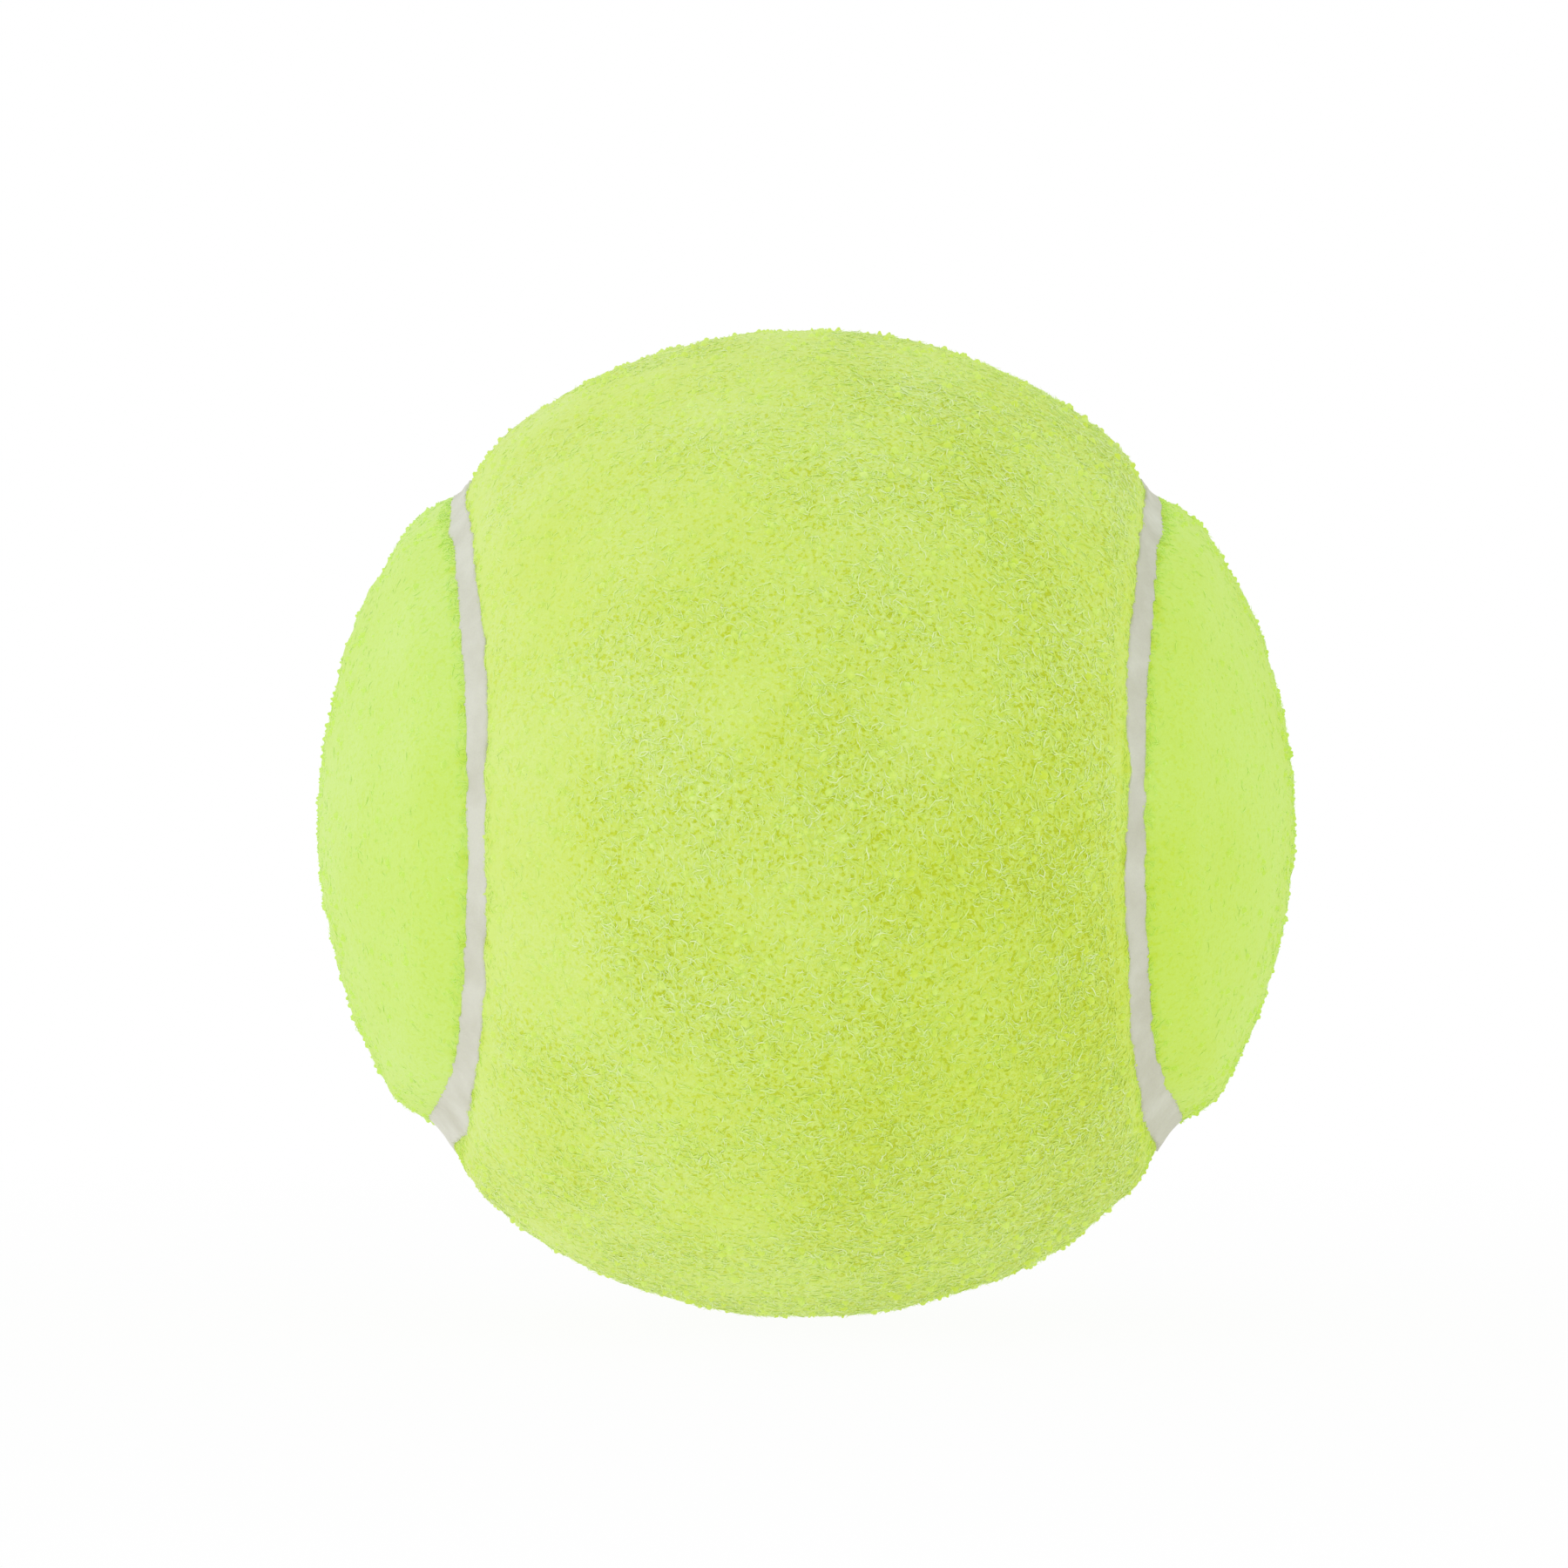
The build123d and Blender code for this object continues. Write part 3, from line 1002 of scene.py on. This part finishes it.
def growNap(cloth, place, layer, seedStart):
    nap = bpy.data.objects.new("felt_nap_" + place + "_" + layer["name"], cloth.data.copy())
    bpy.context.collection.objects.link(nap)
    spread = nap.modifiers.new("napScatter", 'NODES')
    spread.node_group = scatter
    count = layer["count"] // 1
    settings = {
        "Strands": strandHomes[layer["kind"]],
        "Seed": layer["seed"] + seedStart,
        "Grows By": layer["grows"],
        "Density": count / growingArea(cloth, layer["grows"]),
        "Clumps": layer["clumps"],
        "Tilt Low": -radians(layer["tilt"][1]),
        "Tilt High": -radians(layer["tilt"][0]),
        "Scale Low": layer["scale"][0],
        "Scale High": layer["scale"][1],
        "Tone": layer["tone"],
        "Tone Swing": layer["swing"],
    }
    for item in scatter.interface.items_tree:
        if item.in_out == 'INPUT' and item.name in settings:
            spread[item.identifier] = settings[item.name]
    applyAll(nap)
    mapStrands(nap)
    nap.data.materials[0] = strandFinish[place]
    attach(nap, "root")
    print(nap.name, len(nap.data.polygons), "faces")
    return nap


scatter = makeScatter()
for number, place in enumerate(panels):
    cloth = makeCloth("felt_cloth_" + place, place)
    markCloth(cloth, place)
    setFinish(cloth, feltFinish[place])
    naps = [growNap(cloth, place, layer, napSpread["seedStep"] * number) for layer in napSpread["layers"]]
    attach(cloth, "root")
    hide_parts("felt_panel_" + place)
    print(cloth.name, len(cloth.data.polygons), "faces")

for home in strandHomes.values():
    for model in list(home.objects):
        bpy.data.objects.remove(model)
    bpy.data.collections.remove(home)


# Floor: plain and pale, lit through like a light table, with a trace of the ball's shadow near it
floorSettings = {
    "size": 8,
    "height": -33.8 * mm,
    "shader": {"Base Color": (0.9, 0.9, 0.9, 1), "Roughness": 1.0},
    "toCamera": 0.95,           # share of its own white that the camera sees beside the ball
    "whitens": (0.05, 0.22),    # how far out that share begins to rise, and is whole
    "toBall": (0.87, 0.70),     # share that lights the ball, at its left and at its right
    "toBallAcross": 0.06,       # how far out those shares are reached
    "toBallTint": (1.0, 0.965, 0.975, 1),
}

bpy.ops.object.select_all(action='DESELECT')
bpy.ops.mesh.primitive_plane_add(size=floorSettings["size"], location=(0, 0, floorSettings["height"]))
floor = bpy.context.active_object
floor.name = "floor"


# 1 for the rays that see the stage, 0 for those that light the ball
def whiteRays(tree):
    path = addNode(tree, 'ShaderNodeLightPath', (-6, 2)).outputs
    seen = addMath(tree, 'MAXIMUM', (-5, 2), path["Is Camera Ray"], path["Is Glossy Ray"])
    return addMath(tree, 'MAXIMUM', (-4, 2), seen, path["Is Transmission Ray"])


def makeFloorFinish():
    finish, tree, shader = newMaterial("paleFloor", floorSettings["shader"])
    outward = addNode(tree, 'ShaderNodeVectorMath', (-6, 4), {0: objectSpot(tree)}, operation='LENGTH')
    fade = addRange(tree, (-4, 4), outward.outputs["Value"], floorSettings["whitens"],
                    (floorSettings["toCamera"], 1.0), 'SMOOTHSTEP')
    across = addNode(tree, 'ShaderNodeSeparateXYZ', (-6, 6), {"Vector": objectSpot(tree)}).outputs["X"]
    reach = floorSettings["toBallAcross"]
    lean = addRange(tree, (-4, 6), across, (-reach, reach), floorSettings["toBall"], 'SMOOTHSTEP')
    seen = whiteRays(tree)
    share = addNode(tree, 'ShaderNodeMix', (-2, 2), data_type='FLOAT')
    fill(tree, share, {"Factor": seen, "A": lean, "B": fade})
    tint = addNode(tree, 'ShaderNodeMix', (-2, 4), data_type='RGBA')
    fill(tree, tint, {"Factor": seen, "A": floorSettings["toBallTint"], "B": white})
    glow = addNode(tree, 'ShaderNodeEmission', (0, 2), {"Color": tint.outputs["Result"]})
    mixed = addNode(tree, 'ShaderNodeMixShader', (2, 1))
    fill(tree, mixed, {0: share.outputs[0], 1: shader.outputs[0], 2: glow.outputs[0]})
    feed(tree, tree.nodes["Material Output"].inputs["Surface"], mixed.outputs[0])
    return finish


setFinish(floor, makeFloorFinish())

# Light: a white tent that is brighter at its upper left, and a soft lamp from the right
studio = {
    "tent": 0.842,
    "tentLean": 0.22,       # how much brighter its near upper left is than its far lower right
    "tentBright": (-0.80, -0.30, 0.35),
    "lamps": (
        {"name": "right", "place": (0.78, 0.10, 0.05), "size": 0.7, "level": 0.17, "tint": (0.82, 1, 0.80)},
    ),
}

world = bpy.data.worlds.new("tent")
bpy.context.scene.world = world
world.use_nodes = True
tree = world.node_tree
heading = addNode(tree, 'ShaderNodeTexCoord', (-6, 0)).outputs["Generated"]
facing = addNode(tree, 'ShaderNodeVectorMath', (-4, 0), operation='DOT_PRODUCT')
fill(tree, facing, {0: heading, 1: Vector(studio["tentBright"]).normalized()})
dimmest = studio["tent"] * (1 - studio["tentLean"])
brightest = studio["tent"] * (1 + studio["tentLean"])
level = addRange(tree, (-2, 0), facing.outputs["Value"], (-1.0, 1.0), (dimmest, brightest))
tent = tree.nodes["Background"]
fill(tree, tent, {"Color": white, "Strength": level})
backdrop = addNode(tree, 'ShaderNodeBackground', (0, 2), {"Color": white, "Strength": 1.0})
mixed = addNode(tree, 'ShaderNodeMixShader', (2, 1))
fill(tree, mixed, {0: whiteRays(tree), 1: tent.outputs[0], 2: backdrop.outputs[0]})
feed(tree, tree.nodes["World Output"].inputs["Surface"], mixed.outputs[0])

for lamp in studio["lamps"]:
    light = bpy.data.lights.new(lamp["name"], 'AREA')
    light.size = lamp["size"]
    light.color = lamp["tint"]
    place = Vector(lamp["place"])
    light.energy = lamp["level"] * pi * pi * place.length_squared
    holder = bpy.data.objects.new(lamp["name"], light)
    holder.location = place
    holder.rotation_euler = (-place).to_track_quat('-Z', 'Y').to_euler()
    bpy.context.collection.objects.link(holder)

# Camera: level with the ball's middle and twelve of its radii away
cameraSettings = {
    "away": 402 * mm,
    "lens": 135.6,
    "sensor": 36,
    "shift": (-0.01405, 0.025),
    "clipStart": 0.01,
}

eye = bpy.data.cameras.new("camera")
eye.lens = cameraSettings["lens"]
eye.sensor_width = cameraSettings["sensor"]
eye.shift_x, eye.shift_y = cameraSettings["shift"]
eye.clip_start = cameraSettings["clipStart"]
camera = bpy.data.objects.new("camera", eye)
camera.location = (0, -cameraSettings["away"], 0)
camera.rotation_euler = (pi / 2, 0, 0)
bpy.context.collection.objects.link(camera)
bpy.context.scene.camera = camera
bpy.context.scene.view_settings.view_transform = 'Standard'
print("stage set")
